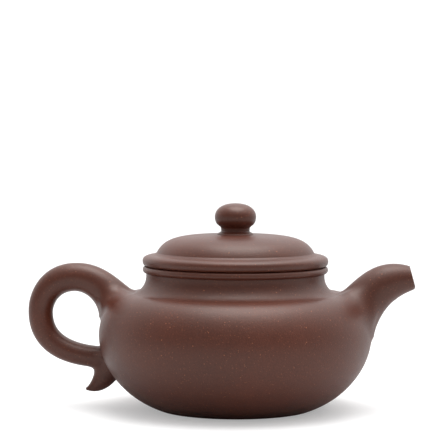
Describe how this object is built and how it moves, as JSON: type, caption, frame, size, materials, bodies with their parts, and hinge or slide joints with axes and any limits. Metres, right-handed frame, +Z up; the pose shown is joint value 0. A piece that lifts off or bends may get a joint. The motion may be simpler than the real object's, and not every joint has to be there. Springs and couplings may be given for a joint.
{
  "type": "yixing clay teapot",
  "caption": "Low round clay teapot with a short curved spout, a ring handle with a hooked tail, and a domed lid with a flattened ball knob that lifts off.",
  "frame": {"origin": "on the pot's axis, in the plane of the table under the foot ring", "axes": "+Z up, +X towards the spout, -X towards the handle"},
  "size_m": [0.1516, 0.1062, 0.08],
  "materials": {
    "clay": "unglazed purple-brown stoneware, satin from burnishing, with sparse sand specks",
    "lid_clay": "the same clay, burnished a little smoother on the dome and knob"
  },
  "bodies": {
    "pot": {"foot_ring": "clay", "base_disc": "clay", "belly_wall": "clay", "shoulder_disc": "clay", "neck_collar": "clay", "mouth_ring": "clay", "spout": "clay", "spout_strainer": "clay", "handle": "clay", "handle_tail": "clay"},
    "lid": {"lid_plate": "lid_clay", "lid_dome": "lid_clay", "lid_flange": "lid_clay", "knob_foot": "lid_clay", "knob": "lid_clay"}
  },
  "joints": [
    {"name": "lid_lift", "type": "slide", "parent": "pot", "child": "lid", "axis": [0, 0, 1], "range_m": [0, 0.05]}
  ]
}
